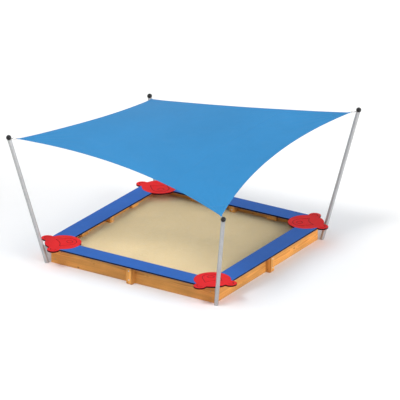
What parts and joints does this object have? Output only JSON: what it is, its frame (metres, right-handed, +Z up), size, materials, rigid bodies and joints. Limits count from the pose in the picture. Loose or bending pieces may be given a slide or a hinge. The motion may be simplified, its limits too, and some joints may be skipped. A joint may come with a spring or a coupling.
{
  "type": "sandbox with cover",
  "caption": "Square timber sandbox with blue seat boards, red bear-head corner seats and a blue saddle-shaped shade sail held by leaning steel poles.",
  "frame": {"origin": "on the ground, at the middle of the sandbox", "axes": "+Z up; the front side faces -Y and the right side +X; the high poles stand front left and back right"},
  "size_m": [3.968, 3.968, 2.152],
  "materials": {
    "timber": "planed and glazed softwood, satin",
    "seat_plastic": "blue two-colour polyethylene sheet with a black core, fine grain",
    "bear_plastic": "red two-colour polyethylene sheet with a black core, fine grain",
    "galvanised_steel": "hot-dip galvanised, matte",
    "zinc_steel": "zinc-plated, satin",
    "stainless_steel": "polished",
    "ball_plastic": "black, satin gloss",
    "plug_plastic": "black, moulded",
    "sail_fabric": "blue coated polyester weave, matte",
    "sail_webbing": "blue polyester webbing",
    "sand": "fine loose play sand"
  },
  "bodies": {
    "frame": {"ball_cap_back_left": "ball_plastic", "ball_cap_back_right": "ball_plastic", "ball_cap_front_left": "ball_plastic", "ball_cap_front_right": "ball_plastic", "ball_cap_studs": "zinc_steel", "block_screws": "zinc_steel", "bracket_bolts": "zinc_steel", "bracket_nuts": "zinc_steel", "carabiner_back_left": "stainless_steel", "carabiner_back_right": "stainless_steel", "carabiner_front_left": "stainless_steel", "carabiner_front_right": "stainless_steel", "carabiner_pins": "stainless_steel", "corner_bracket_back_left": "galvanised_steel", "corner_bracket_back_right": "galvanised_steel", "corner_bracket_front_left": "galvanised_steel", "corner_bracket_front_right": "galvanised_steel", "corner_seat_back_left": "bear_plastic", "corner_seat_back_right": "bear_plastic", "corner_seat_front_left": "bear_plastic", "corner_seat_front_right": "bear_plastic", "corner_seat_screws": "zinc_steel", "inner_post_back": "timber", "inner_post_front": "timber", "inner_post_left": "timber", "inner_post_right": "timber", "outer_post_back": "timber", "outer_post_front": "timber", "outer_post_left": "timber", "outer_post_right": "timber", "pole_base_plugs": "plug_plastic", "pole_head_plates": "galvanised_steel", "post_bolts": "zinc_steel", "post_nuts": "zinc_steel", "sail_corner_tabs": "sail_webbing", "sail_pole_back_left": "galvanised_steel", "sail_pole_back_right": "galvanised_steel", "sail_pole_front_left": "galvanised_steel", "sail_pole_front_right": "galvanised_steel", "sail_rings": "stainless_steel", "sand_fill": "sand", "seat_blocks_back": "timber", "seat_blocks_front": "timber", "seat_blocks_left": "timber", "seat_blocks_right": "timber", "seat_board_back": "seat_plastic", "seat_board_front": "seat_plastic", "seat_board_left": "seat_plastic", "seat_board_right": "seat_plastic", "seat_screws": "zinc_steel", "shade_sail": "sail_fabric", "side_board_back": "timber", "side_board_front": "timber", "side_board_left": "timber", "side_board_right": "timber"},
    "gate_front_left": {"carabiner_gate_front_left": "stainless_steel"},
    "gate_front_right": {"carabiner_gate_front_right": "stainless_steel"},
    "gate_back_right": {"carabiner_gate_back_right": "stainless_steel"},
    "gate_back_left": {"carabiner_gate_back_left": "stainless_steel"}
  },
  "joints": [
    {"name": "carabiner_gate_front_left_hinge", "type": "hinge", "parent": "frame", "child": "gate_front_left", "pos_m": [-1.89291, -1.89291, 2.10022], "axis": [-0.7071, 0.7071, 0], "range_deg": [0, 18], "stiffness_Nm_per_rad": 0.06, "springref_deg": -28.65},
    {"name": "carabiner_gate_front_right_hinge", "type": "hinge", "parent": "frame", "child": "gate_front_right", "pos_m": [1.83619, -1.83619, 1.58102], "axis": [-0.7071, -0.7071, 0], "range_deg": [0, 18], "stiffness_Nm_per_rad": 0.06, "springref_deg": -28.65},
    {"name": "carabiner_gate_back_right_hinge", "type": "hinge", "parent": "frame", "child": "gate_back_right", "pos_m": [1.89291, 1.89291, 2.10022], "axis": [0.7071, -0.7071, 0], "range_deg": [0, 18], "stiffness_Nm_per_rad": 0.06, "springref_deg": -28.65},
    {"name": "carabiner_gate_back_left_hinge", "type": "hinge", "parent": "frame", "child": "gate_back_left", "pos_m": [-1.83619, 1.83619, 1.58102], "axis": [0.7071, 0.7071, 0], "range_deg": [0, 18], "stiffness_Nm_per_rad": 0.06, "springref_deg": -28.65}
  ]
}
